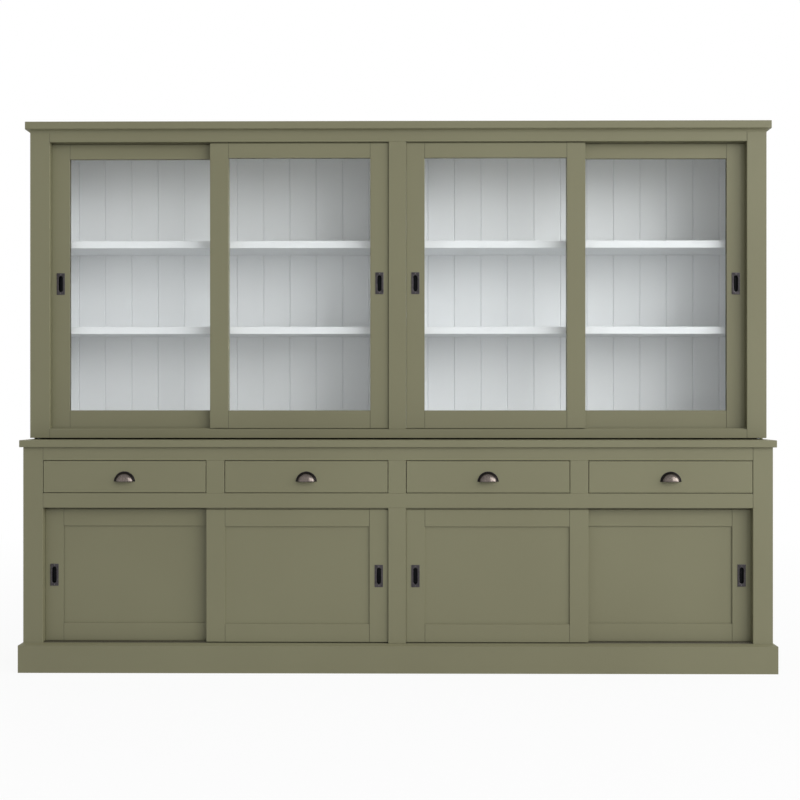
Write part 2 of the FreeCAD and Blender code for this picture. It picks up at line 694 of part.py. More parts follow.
def drawer(name, edge):
    """One drawer: its inset front, its box, and its cup pull with two screws."""
    front_rear = f"({BASE_FRONT} + drawer_front_thickness)"
    bottom = f"({DRAWER_LEVEL} + running_gap)"
    middle = f"({edge} + {DRAWER_WIDTH} / 2)"
    cup_level = f"({DRAWER_LEVEL} + drawer_opening / 2 - cup_radius / 2)"
    screw_level = f"({cup_level} + cup_screw_rise)"

    front = board(
        f"{name}_front_board",
        (f"{edge} + drawer_gap", BASE_FRONT, f"{DRAWER_LEVEL} + drawer_gap"),
        (f"{DRAWER_WIDTH} - 2 * drawer_gap", "drawer_front_thickness", "drawer_opening - 2 * drawer_gap"))
    screw_places = [f"({middle} {sign} {CUP_SCREW_SPREAD})" for sign in ("-", "+")]
    for x in screw_places:
        hole = "(cup_screw_shank + screw_gap)"
        rod(front, "Subtractive", x, front_rear, screw_level, hole, "drawer_front_thickness")
    sub_part(f"{name}_drawer_front", [front])

    box_edge = f"({edge} + drawer_clearance)"
    box_width = f"({DRAWER_WIDTH} - 2 * drawer_clearance)"
    inner_edge = f"({box_edge} + drawer_side_thickness)"
    inner_width = f"({box_width} - 2 * drawer_side_thickness)"
    far_edge = f"({inner_edge} + {inner_width})"
    bottom_level = f"({bottom} + drawer_bottom_lift)"
    bottom_run = f"({DRAWER_LENGTH} - drawer_side_thickness)"
    pieces = []
    for side, x, groove_x in (
            ("left", box_edge, f"{inner_edge} - drawer_bottom_groove"),
            ("right", far_edge, far_edge)):
        piece = board(f"{name}_drawer_{side}_side", (x, front_rear, bottom),
                      ("drawer_side_thickness", DRAWER_LENGTH, DRAWER_SIDE_HEIGHT))
        box(piece, "Subtractive", (groove_x, front_rear, bottom_level),
            ("drawer_bottom_groove", bottom_run, "drawer_bottom_thickness"))
        pieces.append(piece)
    pieces.append(board(
        f"{name}_drawer_rear", (inner_edge, f"{front_rear} + {bottom_run}", bottom),
        (inner_width, "drawer_side_thickness", f"{DRAWER_SIDE_HEIGHT} - drawer_bottom_lift")))
    pieces.append(sheet_panel(
        f"{name}_drawer_bottom", (f"{inner_edge} - drawer_bottom_groove", front_rear, bottom_level),
        (f"{inner_width} + 2 * drawer_bottom_groove", bottom_run, "drawer_bottom_thickness")))
    sub_part(f"{name}_drawer_box", pieces)

    hardware = [cup_pull(f"{name}_cup", middle, cup_level, screw_places, screw_level)]
    for side, x in zip(SIDES, screw_places):
        screw = new_body(f"{name}_cup_{side}_screw")
        shank = f"(drawer_front_thickness + {CUP_SCREW_REACH})"
        head_rear = f"({front_rear} + cup_screw_head_height)"
        rod(screw, "Additive", x, head_rear, screw_level, "cup_screw_head", "cup_screw_head_height")
        rod(screw, "Additive", x, front_rear, screw_level, "cup_screw_shank", shank)
        hardware.append(screw)
    sub_part(f"{name}_cup_pull", hardware)


def half_dome(body, kind, x, level, radius, projection):
    """Add or cut the upper front quarter of an ellipsoid on a drawer's face."""
    dome = body.newObject(f"PartDesign::{kind}Ellipsoid", f"{kind}Dome")
    dome.Placement.Rotation = FreeCAD.Rotation(FreeCAD.Vector(0, 0, 1), 180)
    dome.Angle1 = 0
    dome.Angle2 = 90
    dome.Angle3 = 180
    bind(dome, {"Radius1": radius, "Radius2": radius, "Radius3": projection})
    place(dome, x, BASE_FRONT, level)


def cup_pull(name, x, level, screw_places, screw_level):
    """A half-round cup that is open below for the fingers, on a flat flange."""
    cup = new_body(name)
    inner = f"({CUP_DOME_RADIUS} - cup_wall)"
    rod(cup, "Additive", x, BASE_FRONT, level, "cup_radius", "cup_flange_thickness")
    half_dome(cup, "Additive", x, level, CUP_DOME_RADIUS, "cup_projection")
    half_dome(cup, "Subtractive", x, level, inner, "cup_projection - cup_wall")
    below = (f"{x} - 2 * cup_radius", f"{BASE_FRONT} - 2 * cup_projection",
             f"{level} + cup_cut - 2 * cup_radius")
    for place_x in screw_places:
        rod(cup, "Additive", place_x, BASE_FRONT, screw_level, "cup_boss_radius", CUP_BOSS_LENGTH)
        rod(cup, "Subtractive", place_x, BASE_FRONT, screw_level, "(cup_screw_shank + screw_gap)",
            f"({CUP_SCREW_REACH} + screw_gap)")
    box(cup, "Subtractive", below, ("4 * cup_radius", "4 * cup_projection", "2 * cup_radius"))
    return cup


def stile(name, x, y, bottom, height):
    """An upright of a door, with its tongue above and its runner groove below."""
    upright = board(name, (x, y, bottom), ("stile_width", "door_thickness", height))
    add_tongue(upright, x, y, f"({bottom} + {height})", "stile_width")
    cut_runner_groove(upright, x, y, bottom, "stile_width")
    return upright


def add_tongue(piece, x, y, top, width):
    """Add the tongue that runs in the groove of the rail above."""
    corner = (x, f"{y} + (door_thickness - tongue_thickness) / 2", top)
    box(piece, "Additive", corner, (width, "tongue_thickness", "tongue_height"))


def cut_runner_groove(piece, x, y, bottom, width):
    """Cut the groove in the foot of a door that takes the top of a runner strip."""
    groove = "(runner_width + 2 * track_gap)"
    corner = (x, f"{y} + (door_thickness - {groove}) / 2", bottom)
    box(piece, "Subtractive", corner, (width, groove, "runner_lap + running_gap"))


def pull_mortise(upright, x, y, z):
    """Cut the mortise of a flush pull and the holes of its screws into an upright."""
    width = "(pull_slot_width + 2 * pull_wall + 2 * pull_mortise_gap)"
    height = "(pull_slot_height + 2 * pull_wall + 2 * pull_mortise_gap)"
    depth = "(pull_slot_depth + pull_wall + pull_mortise_gap - pull_plate_thickness)"
    obround(upright, "Subtractive", x, f"({y} + {depth})", z, width, height, depth)
    for level in pull_screw_levels(z):
        radius = "(pull_screw_shank + screw_gap)"
        rear = f"({y} + pull_screw_length)"
        rod(upright, "Subtractive", x, rear, level, radius, "pull_screw_length")


def pull_screw_levels(z):
    """Heights of the two screws of a flush pull."""
    reach = "(pull_plate_height / 2 - pull_screw_inset)"
    return [f"({z} {sign} {reach})" for sign in ("-", "+")]


def flush_pull(name, x, y, z):
    """A flat plate with a sunk round-ended finger slot, and its two countersunk screws."""
    plate = new_body(name)
    corner = (f"{x} - pull_plate_width / 2", f"{y} - pull_plate_thickness", f"{z} - pull_plate_height / 2")
    box(plate, "Additive", corner, ("pull_plate_width", "pull_plate_thickness", "pull_plate_height"))
    ease_edges(plate, "pull_plate_ease")
    shell = "(pull_slot_depth + pull_wall - pull_plate_thickness)"
    outer_width = "(pull_slot_width + 2 * pull_wall)"
    outer_height = "(pull_slot_height + 2 * pull_wall)"
    obround(plate, "Additive", x, f"({y} + {shell})", z, outer_width, outer_height, shell)
    slot_rear = f"({y} - pull_plate_thickness + pull_slot_depth)"
    obround(plate, "Subtractive", x, slot_rear, z, "pull_slot_width", "pull_slot_height", "pull_slot_depth")
    pieces = [plate]
    for index, level in enumerate(pull_screw_levels(z)):
        hole = "(pull_screw_shank + screw_gap)"
        sink = "(pull_screw_head + screw_gap)"
        cone(plate, "Subtractive", x, y, level, hole, sink, "pull_plate_thickness")
        screw = new_body(f"{name}_screw_{index}")
        cone(screw, "Additive", x, y, level, "pull_screw_shank", "pull_screw_head", "pull_plate_thickness")
        tail = "(pull_screw_length - screw_gap)"
        rod(screw, "Additive", x, f"({y} + {tail})", level, "pull_screw_shank", tail)
        pieces.append(screw)
    return pieces


def pull_side(name):
    """The stile that carries a door's pull: the one beside a post when the door is shut."""
    return "left" if name in ("left_outer", "right_inner") else "right"


def panel_door(name, edge, track):
    """A door of the base: a grooved frame with stub tenons round a flat panel."""
    y = f"({BASE_FRONT} + {track})"
    bottom = "(floor_height + panel_door_lift)"
    height = "(base_opening - panel_door_lift - panel_door_head_gap)"
    top = f"({bottom} + {height})"
    inner = f"({edge} + stile_width)"
    inner_width = f"({DOOR_WIDTH} - 2 * stile_width)"
    far = f"({inner} + {inner_width})"
    groove_y = f"({y} + panel_recess)"
    groove_bottom = f"({bottom} + tenon_inset)"
    tenon = "(panel_groove - panel_edge_gap)"
    tenon_run = f"({inner_width} + 2 * {tenon})"

    uprights = {}
    for side, x, groove_x in (("left", edge, f"{inner} - panel_groove"), ("right", far, far)):
        upright = stile(f"{name}_panel_door_{side}_stile", x, y, bottom, height)
        box(upright, "Subtractive", (groove_x, groove_y, groove_bottom),
            ("panel_groove", "panel_thickness", f"{height} - 2 * tenon_inset"))
        uprights[side] = upright
    x = f"({edge if pull_side(name) == 'left' else far} + stile_width / 2)"
    z = f"({bottom} + {height} / 2)"
    pull_mortise(uprights[pull_side(name)], x, y, z)

    low_top = f"({bottom} + panel_door_bottom_rail)"
    low = board(f"{name}_panel_door_bottom_rail", (inner, y, bottom),
                (inner_width, "door_thickness", "panel_door_bottom_rail"))
    cut_runner_groove(low, inner, y, bottom, inner_width)
    box(low, "Additive", (f"{inner} - {tenon}", groove_y, groove_bottom),
        (tenon_run, "panel_thickness", f"{low_top} - {groove_bottom} - panel_groove"))
    box(low, "Subtractive", (inner, groove_y, f"{low_top} - panel_groove"),
        (inner_width, "panel_thickness", "panel_groove"))

    high_bottom = f"({top} - panel_door_top_rail)"
    high = board(f"{name}_panel_door_top_rail", (inner, y, high_bottom),
                 (inner_width, "door_thickness", "panel_door_top_rail"))
    add_tongue(high, inner, y, top, inner_width)
    box(high, "Additive", (f"{inner} - {tenon}", groove_y, f"{high_bottom} + panel_groove"),
        (tenon_run, "panel_thickness", "panel_door_top_rail - panel_groove - tenon_inset"))
    box(high, "Subtractive", (inner, groove_y, high_bottom),
        (inner_width, "panel_thickness", "panel_groove"))
    sub_part(f"{name}_panel_door_frame", [uprights["left"], uprights["right"], low, high])

    panel_corner = (f"{inner} - {tenon}", groove_y, f"{low_top} - {tenon}")
    panel_size = (tenon_run, "panel_thickness", f"{high_bottom} - {low_top} + 2 * {tenon}")
    sub_part(f"{name}_door_panel", [sheet_panel(f"{name}_door_panel", panel_corner, panel_size)])
    sub_part(f"{name}_panel_door_pull", flush_pull(f"{name}_panel_pull", x, y, z))


def glass_door(name, edge, track):
    """A door of the upper case: a mortised frame, rebated for glass that beads hold."""
    y = f"({UPPER_FRONT} + {track})"
    bottom = f"({UPPER_SILL} + glass_door_lift)"
    height = "(upper_opening - glass_door_lift - glass_door_head_gap)"
    top = f"({bottom} + {height})"
    inner = f"({edge} + stile_width)"
    inner_width = f"({DOOR_WIDTH} - 2 * stile_width)"
    far = f"({inner} + {inner_width})"
    low_top = f"({bottom} + glass_door_bottom_rail)"
    high_bottom = f"({top} - glass_door_top_rail)"
    glass_y = f"({y} + glass_recess)"
    rebate_depth = "(door_thickness - glass_recess)"
    rebate_bottom = f"({low_top} - glass_rebate)"
    rebate_height = f"({high_bottom} - {low_top} + 2 * glass_rebate)"
    tenon_y = f"({y} + tenon_setback)"
    mortise_run = "(tenon_length + tenon_end_gap)"
    low_tenon = (f"({bottom} + tenon_inset)", "(glass_door_bottom_rail - 2 * tenon_inset)")
    high_tenon = (f"({high_bottom} + tenon_inset)", "(glass_door_top_rail - 2 * tenon_inset)")

    uprights = {}
    for side, x, rebate_x, mortise_x in (
            ("left", edge, f"{inner} - glass_rebate", f"{inner} - {mortise_run}"),
            ("right", far, far, far)):
        upright = stile(f"{name}_glass_door_{side}_stile", x, y, bottom, height)
        box(upright, "Subtractive", (rebate_x, glass_y, rebate_bottom),
            ("glass_rebate", rebate_depth, rebate_height))
        for level, tall in (low_tenon, high_tenon):
            box(upright, "Subtractive", (mortise_x, tenon_y, level),
                (mortise_run, "tenon_thickness", tall))
        box(upright, "Subtractive", (f"{x} + (stile_width - relief_width) / 2", y, bottom),
            ("relief_width", "door_thickness", "relief_height"))
        uprights[side] = upright
    x = f"({edge if pull_side(name) == 'left' else far} + stile_width / 2)"
    z = f"({bottom} + {height} / 2 + glass_door_pull_rise)"
    pull_mortise(uprights[pull_side(name)], x, y, z)

    tenon_edge = f"{inner} - tenon_length"
    tenon_run = f"{inner_width} + 2 * tenon_length"
    low = board(f"{name}_glass_door_bottom_rail", (inner, y, bottom),
                (inner_width, "door_thickness", "glass_door_bottom_rail"))
    cut_runner_groove(low, inner, y, bottom, inner_width)
    box(low, "Additive", (tenon_edge, tenon_y, low_tenon[0]), (tenon_run, "tenon_thickness", low_tenon[1]))
    box(low, "Subtractive", (inner, glass_y, rebate_bottom), (inner_width, rebate_depth, "glass_rebate"))

    high = board(f"{name}_glass_door_top_rail", (inner, y, high_bottom),
                 (inner_width, "door_thickness", "glass_door_top_rail"))
    add_tongue(high, inner, y, top, inner_width)
    box(high, "Additive", (tenon_edge, tenon_y, high_tenon[0]), (tenon_run, "tenon_thickness", high_tenon[1]))
    box(high, "Subtractive", (inner, glass_y, high_bottom), (inner_width, rebate_depth, "glass_rebate"))

    bead_y = f"({glass_y} + glass_thickness)"
    bead_depth = f"({rebate_depth} - glass_thickness)"
    beads = []
    for side, bead_x in (("left", f"{inner} - glass_rebate"), ("right", far)):
        beads.append(sheet_panel(
            f"{name}_{side}_bead", (bead_x, bead_y, rebate_bottom),
            ("glass_rebate", bead_depth, rebate_height)))
    for level_name, level in (("bottom", rebate_bottom), ("top", high_bottom)):
        beads.append(sheet_panel(
            f"{name}_{level_name}_bead", (inner, bead_y, level),
            (inner_width, bead_depth, "glass_rebate")))
    sub_part(f"{name}_glass_door_frame", [uprights["left"], uprights["right"], low, high] + beads)

    hold = "(glass_rebate - glass_edge_gap)"
    glass_corner = (f"{inner} - {hold}", glass_y, f"{low_top} - {hold}")
    glass_size = (f"{inner_width} + 2 * {hold}", "glass_thickness", f"{high_bottom} - {low_top} + 2 * {hold}")
    sub_part(f"{name}_door_glass", [sheet_panel(f"{name}_door_glass", glass_corner, glass_size)])
    sub_part(f"{name}_glass_door_pull", flush_pull(f"{name}_glass_pull", x, y, z))


def check_document():
    """Stop if any feature failed or any sub-part has no valid shape."""
    for item in doc.Objects:
        if "Invalid" in item.State or "Error" in item.State:
            raise RuntimeError(f"{item.Label} failed: {item.State}")
    for item in SUB_PARTS:
        if item.Shape.isNull() or not item.Shape.isValid():
            raise RuntimeError(f"{item.Label} has no valid shape")


base_case()
drawer_supports()
upper_case()
partitions_and_shelves()
sub_part("back_screws", back_screws("base") + back_screws("upper"))
for drawer_name, drawer_edge in DRAWER_EDGES.items():
    drawer(drawer_name, drawer_edge)
for door_name, door_edge in DOOR_EDGES.items():
    door_track = REAR_TRACK if door_name.endswith("outer") else FRONT_TRACK
    panel_door(door_name, door_edge, door_track)
    glass_door(door_name, door_edge, door_track)

doc.recompute()
check_document()
os.makedirs("parts", exist_ok=True)
for item in SUB_PARTS:
    item.Shape.exportStep(f"parts/{item.Label}.step")
    print(item.Label, len(item.Shape.Solids), "solids", round(item.Shape.Volume / 1000), "cm3")
print(len(SUB_PARTS), "sub-parts")
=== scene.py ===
# %% [markdown]
# # A painted display cabinet
#
# The cabinet has a wide base with drawers over sliding panel doors. On it stands a shallower
# case with sliding glass doors in front of white shelves. Its construction comes ready made, in
# metres, with +Z up and the front facing -Y. This lesson gives every surface its finish, models
# the small metal pulls and the moulding under the cornice finely, and sets the cabinet in a plain
# studio.

# %% Load the construction
import math
import bmesh
import bpy
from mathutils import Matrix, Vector


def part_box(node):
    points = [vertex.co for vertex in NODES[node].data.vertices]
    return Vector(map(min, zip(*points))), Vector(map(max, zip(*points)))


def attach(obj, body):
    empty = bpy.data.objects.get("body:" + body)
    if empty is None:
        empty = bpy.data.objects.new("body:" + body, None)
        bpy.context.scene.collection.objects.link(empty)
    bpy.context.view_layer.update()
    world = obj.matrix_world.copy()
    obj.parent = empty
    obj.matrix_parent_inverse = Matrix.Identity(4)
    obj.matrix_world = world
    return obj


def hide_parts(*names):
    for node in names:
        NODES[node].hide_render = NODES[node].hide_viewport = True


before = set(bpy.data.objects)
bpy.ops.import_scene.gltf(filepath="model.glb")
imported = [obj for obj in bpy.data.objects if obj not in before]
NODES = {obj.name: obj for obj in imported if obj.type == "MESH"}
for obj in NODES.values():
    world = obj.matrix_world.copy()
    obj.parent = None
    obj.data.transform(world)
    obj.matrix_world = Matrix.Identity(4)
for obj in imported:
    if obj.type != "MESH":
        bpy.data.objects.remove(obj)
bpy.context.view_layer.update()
POSITIONS = ("left_outer", "left_inner", "right_inner", "right_outer")
DOOR_KINDS = ("panel", "glass")
HALF_TURN = math.pi
QUARTER_TURN = HALF_TURN / 2
bpy.ops.object.select_all(action="DESELECT")

# %% [markdown]
# ## The camera
#
# A wide piece of furniture is best seen from straight in front, at about chest height, so that
# its posts stay upright in the picture. A Blender camera looks down its own -Z axis, so a quarter
# turn about X makes it look level along +Y. A slight turn about Z brings the right-hand side a
# little nearer, as in the photograph. A long lens keeps the perspective calm.

# %% Place the camera
EYE = Vector((0.066, -5.739, 1.079))
LENS_MM = 62.7
TURN_TO_LEFT = 0.0099

bpy.ops.object.camera_add(location=EYE, rotation=(QUARTER_TURN, 0, TURN_TO_LEFT))
camera = bpy.context.object
camera.name = "front_camera"
camera.data.lens = LENS_MM
bpy.context.scene.camera = camera
bpy.context.scene.view_settings.view_transform = "Standard"
print("camera", tuple(camera.location), "lens", LENS_MM)

# %% [markdown]
# ## Helpers for node trees
#
# Every finish below is a small tree of shader nodes. Adding a node always takes the same three
# steps: create it, set its options, and join its inputs. One helper does all three, so that the
# recipes stay short. An input is either a plain value or the output of another node. Three more
# helpers cover what comes back often: a calculation with two values, a value moved to another
# range, and a colour between two. A Mix node has sockets of its own for each kind of data, so
# colours go into its inputs 6 and 7, and plain numbers into 2 and 3.

# %% Node helpers


def add_node(tree, kind, options=None, inputs=None):
    """Add one shader node, with its options set and its inputs filled or joined."""
    node = tree.nodes.new("ShaderNode" + kind)
    for name, value in (options or {}).items():
        setattr(node, name, value)
    for name, value in (inputs or {}).items():
        if isinstance(value, bpy.types.NodeSocket):
            tree.links.new(value, node.inputs[name])
        else:
            node.inputs[name].default_value = value
    return node


def calculate(tree, operation, first, second):
    """The result of one operation on two values."""
    return add_node(tree, "Math", {"operation": operation}, {0: first, 1: second}).outputs[0]


def remap(tree, value, low, high, to_low, to_high):
    """A value moved from one range to another, held at its ends."""
    return add_node(tree, "MapRange", {"clamp": True}, {
        "Value": value, "From Min": low, "From Max": high,
        "To Min": to_low, "To Max": to_high}).outputs[0]


def between(tree, factor, first, second):
    """A colour between two, at a factor from 0 to 1."""
    mix = add_node(tree, "Mix", {"data_type": "RGBA"}, {0: factor, 6: first, 7: second})
    return mix.outputs[2]


def background_ray(tree):
    """1 for a ray that comes from the camera, from a reflection or through glass, else 0."""
    path = add_node(tree, "LightPath").outputs
    seen = calculate(tree, "MAXIMUM", path["Is Camera Ray"], path["Is Glossy Ray"])
    return calculate(tree, "MAXIMUM", seen, path["Is Transmission Ray"])


print("node helpers ready")

# %% [markdown]
# ## The white surroundings
#
# A studio picture of furniture often stands on plain white. If the world were bright enough to
# look white it would also flood the cabinet with light. So the world has two parts: rays that
# make the picture see a white of strength 1, and rays that light the cabinet see a softer grey.
# That grey is lighter overhead and in front of the cabinet, as under a pale ceiling, so that ledges
# catch light and the back of the shelves gets some too. It is also lighter on the right than on
# the left. The floor works the same way, but near the cabinet it keeps part of its own shading,
# so a soft shadow still lies on it. Farther away it fades to the same white as the world, and no
# horizon shows. Its paper is pale, so it throws some light up under the rails and the cornice.

# %% World
LIGHT_AROUND = 0.20
LIGHT_IN_FRONT = 0.34
LIGHT_OVERHEAD = 0.66
SHARE_FROM_LEFT = 0.5
SHARE_FROM_RIGHT = 1.5
LIGHT_COLOR = (0.97, 0.985, 1.0, 1)
WHITE = (1, 1, 1, 1)

world = bpy.data.worlds.new("white_studio")
world.use_nodes = True
bpy.context.scene.world = world
tree = world.node_tree
tree.nodes.clear()
direction = add_node(tree, "TexCoord").outputs["Generated"]
parts = add_node(tree, "SeparateXYZ", inputs={0: direction}).outputs
level = remap(tree, parts["Y"], 0, -1, LIGHT_AROUND, LIGHT_IN_FRONT)
overhead = remap(tree, parts["Z"], 0, 1, 0, LIGHT_OVERHEAD)
even = calculate(tree, "ADD", level, overhead)
sideways = remap(tree, parts["X"], -1, 1, SHARE_FROM_LEFT, SHARE_FROM_RIGHT)
strength = calculate(tree, "MULTIPLY", even, sideways)
lighting = add_node(tree, "Background", inputs={"Color": LIGHT_COLOR, "Strength": strength})
backdrop = add_node(tree, "Background", inputs={"Color": WHITE, "Strength": 1})
either = add_node(tree, "MixShader", inputs={0: background_ray(tree), 1: lighting.outputs[0],
                                             2: backdrop.outputs[0]})
add_node(tree, "OutputWorld", inputs={"Surface": either.outputs[0]})
print("world with", len(tree.nodes), "nodes")

# %% Floor
FLOOR_COLOR = (0.78, 0.78, 0.77, 1)
NEAR_WHITENESS = 0.92
NEAR_FLOOR = 1.6
FAR_FLOOR = 6
FLOOR_SIZE = 60
FLOOR_DROP = 0.0005

bpy.ops.mesh.primitive_plane_add(size=FLOOR_SIZE, location=(0, 0, -FLOOR_DROP))
floor = bpy.context.object
floor.name = "studio_floor"
floor_paper = bpy.data.materials.new("floor_paper")
floor_paper.use_nodes = True
tree = floor_paper.node_tree
tree.nodes.clear()
paper = add_node(tree, "BsdfDiffuse", inputs={"Color": FLOOR_COLOR})
glow = add_node(tree, "Emission", inputs={"Color": WHITE, "Strength": 1})
spot = add_node(tree, "TexCoord").outputs["Object"]
distance = add_node(tree, "VectorMath", {"operation": "LENGTH"}, {0: spot}).outputs["Value"]
whiteness = remap(tree, distance, NEAR_FLOOR, FAR_FLOOR, NEAR_WHITENESS, 1)
share = calculate(tree, "MULTIPLY", background_ray(tree), whiteness)
surface = add_node(tree, "MixShader", inputs={0: share, 1: paper.outputs[0], 2: glow.outputs[0]})
add_node(tree, "OutputMaterial", inputs={"Surface": surface.outputs[0]})
floor.data.materials.append(floor_paper)
print("floor", FLOOR_SIZE, "m wide")

# %% [markdown]
# ## The lights
#
# In the photograph the shadows lie under the rails and to the left of what stands proud: the back
# of each bay is darker on its right. So two large soft panels stand in front of the cabinet, above
# it and to its right. The front panel reaches into the bays. The side panel grazes the faces, so
# that each step between two doors casts a shadow. The world fills the shadows. An area light
# shines along its own -Z axis, so each panel is turned towards the middle of the cabinet.

# %% Light panels
PANEL_SIZE = 6.5
LIGHT_AIM = Vector((0, 0, 1.1))
PANELS = {
    "front_panel": (Vector((7.4, -8.6, 5.4)), 450),
    "side_panel": (Vector((13.0, -5.4, 4.4)), 800),
}

for name, (place, watts) in PANELS.items():
    bpy.ops.object.light_add(type="AREA", location=place)
    panel = bpy.context.object
    panel.name = name
    panel.data.shape = "SQUARE"
    panel.data.size = PANEL_SIZE
    panel.data.energy = watts
    panel.rotation_euler = (LIGHT_AIM - place).to_track_quat("-Z", "Y").to_euler()
    print(name, watts, "W at", tuple(place))

# %% [markdown]
# ## Streaks: the pattern under every finish
#
# Brush marks in paint and the grain of wood are both noise, stretched along the board. All the
# nodes sit at the origin, so Object coordinates are real places in metres, and a Mapping node
# can squeeze the noise across the board and leave it long along it. A frame holds uprights and
# rails in one node, so a mask on X tells which way its streaks run. Noise seldom reaches 0 or 1:
# most of it lies in a middle range, which the recipes stretch to the range that they need.

# %% Streak helpers
ALONG = 2.5
STREAK_DETAIL = 3
STREAK_ROUGHNESS = 0.55
MIDDLE = (0.3, 0.7)


def place_in_object(tree):
    """Places in the object's own metres."""
    return add_node(tree, "TexCoord").outputs["Object"]


def inside(tree, place, axis, low, high):
    """1 where the place lies between two values of one axis, else 0."""
    parts = add_node(tree, "SeparateXYZ", inputs={0: place})
    return add_node(tree, "Math", {"operation": "COMPARE"},
                    {0: parts.outputs[axis], 1: (low + high) / 2, 2: (high - low) / 2}).outputs[0]


def streaks(tree, place, run, fineness):
    """Noise from 0 to 1, drawn out along the x, y or z axis."""
    scale = [ALONG if axis == run else fineness for axis in "xyz"]
    stretched = add_node(tree, "Mapping", inputs={"Vector": place, "Scale": scale})
    noise = add_node(tree, "TexNoise", inputs={
        "Vector": stretched.outputs[0], "Scale": 1, "Detail": STREAK_DETAIL,
        "Roughness": STREAK_ROUGHNESS})
    return noise.outputs[0]


def framed_streaks(tree, place, fineness, runs, span):
    """Streaks of two directions: the first outside a span of X, the second inside it."""
    outer = streaks(tree, place, runs[0], fineness)
    inner = streaks(tree, place, runs[1], fineness)
    mask = inside(tree, place, "X", *span)
    return add_node(tree, "Mix", {"data_type": "FLOAT"},
                    {0: mask, 2: outer, 3: inner}).outputs[0]


print("streak helpers ready")

# %% [markdown]
# ## Satin paint
#
# The carcass, the doors and the drawer fronts are painted olive green, and the inside is painted
# white. The back boards get a lighter copy of that white, as painted light on the back of the bays.
# Sprayed and brushed paint is almost even, but never quite: the tone drifts a little over a board,
# fine marks follow the brush, and the sheen varies with them. Large soft noise gives the drift and
# the streaks give the marks, as a very shallow bump. Between the boards of the back, a mask on Y
# paints the narrow grooves greyer: painted shade in the grooves. Where a rail meets an upright, the
# wood moves and the paint opens to a dark hairline. Masks on X draw these joints at the ends of the
# rails.

# %% Paint helpers
OLIVE = ((0.200, 0.193, 0.116, 1), (0.186, 0.178, 0.106, 1))
COOL_WHITE = ((0.720, 0.735, 0.752, 1), (0.700, 0.715, 0.731, 1))
# The back boards' white is a lighter copy of the inside white: painted light on the back of the
# bays.
LIT_BOARD_WHITE = ((0.812, 0.826, 0.843, 1), (0.790, 0.804, 0.820, 1))
# The grooves between the back boards are painted greyer: painted shade.
GROOVE_PAINTED_SHADE = (0.735, 0.75, 0.765, 1)
JOINT_SHADE = (0.076, 0.073, 0.044, 1)
JOINT_WIDTH = 0.0015
GROOVE_START = 0.0006
GROOVE_DEPTH = 0.0035
BRUSH_FINENESS = 240
DRIFT_SCALE = 1.7
DRIFT_DETAIL = 2
PAINT_SHEEN = (0.40, 0.50)
PAINT_SPECULAR = 0.35
BRUSH_DEPTH = 0.00012
BRUSH_STRENGTH = 0.5


def start_finish(name):
    """A new material: its node tree and its main shader."""
    finish = bpy.data.materials.new(name)
    finish.use_nodes = True
    tree = finish.node_tree
    return finish, tree, tree.nodes["Principled BSDF"]


def paint_tone(tree, place, tones):
    """The colour of one paint, drifting between its two tones."""
    drift = add_node(tree, "TexNoise", inputs={
        "Vector": place, "Scale": DRIFT_SCALE, "Detail": DRIFT_DETAIL})
    return between(tree, remap(tree, drift.outputs[0], *MIDDLE, 0, 1), *tones)


def paint_surface(tree, shader, marks):
    """The sheen and the shallow brush marks of paint."""
    sheen = remap(tree, marks, *MIDDLE, *PAINT_SHEEN)
    tree.links.new(sheen, shader.inputs["Roughness"])
    shader.inputs["Specular IOR Level"].default_value = PAINT_SPECULAR
    bump = add_node(tree, "Bump", inputs={
        "Height": marks, "Distance": BRUSH_DEPTH, "Strength": BRUSH_STRENGTH})
    tree.links.new(bump.outputs[0], shader.inputs["Normal"])


def with_joints(tree, place, tone, low, high):
    """The colour of rails between two values of X, with a dark hairline just inside each."""
    first = inside(tree, place, "X", low, low + JOINT_WIDTH)
    second = inside(tree, place, "X", high - JOINT_WIDTH, high)
    return between(tree, calculate(tree, "ADD", first, second), tone, JOINT_SHADE)


print("paint helpers ready")

# %% Paint recipes


def paint(name, tones, run):
    """Paint of one colour, brushed along one axis."""
    finish, tree, shader = start_finish(name)
    place = place_in_object(tree)
    tree.links.new(paint_tone(tree, place, tones), shader.inputs["Base Color"])
    paint_surface(tree, shader, streaks(tree, place, run, BRUSH_FINENESS))
    return finish


def rail_paint(name, low, high):
    """Olive paint on rails that end at two values of X, brushed along them."""
    finish, tree, shader = start_finish(name)
    place = place_in_object(tree)
    tone = paint_tone(tree, place, OLIVE)
    tree.links.new(with_joints(tree, place, tone, low, high), shader.inputs["Base Color"])
    paint_surface(tree, shader, streaks(tree, place, "x", BRUSH_FINENESS))
    return finish


def two_tone_paint(name, run, axis, low, high):
    """White paint between two values of an axis, and olive paint outside them."""
    finish, tree, shader = start_finish(name)
    place = place_in_object(tree)
    olive = paint_tone(tree, place, OLIVE)
    white = paint_tone(tree, place, COOL_WHITE)
    mask = inside(tree, place, axis, low, high)
    tree.links.new(between(tree, mask, olive, white), shader.inputs["Base Color"])
    paint_surface(tree, shader, streaks(tree, place, run, BRUSH_FINENESS))
    return finish


def boarded_paint(name, face):
    """Lighter white paint on upright boards, with painted shade in the grooves behind their face."""
    finish, tree, shader = start_finish(name)
    place = place_in_object(tree)
    white = paint_tone(tree, place, LIT_BOARD_WHITE)
    mask = inside(tree, place, "Y", face + GROOVE_START, face + GROOVE_DEPTH)
    tree.links.new(between(tree, mask, white, GROOVE_PAINTED_SHADE), shader.inputs["Base Color"])
    paint_surface(tree, shader, streaks(tree, place, "z", BRUSH_FINENESS))
    return finish


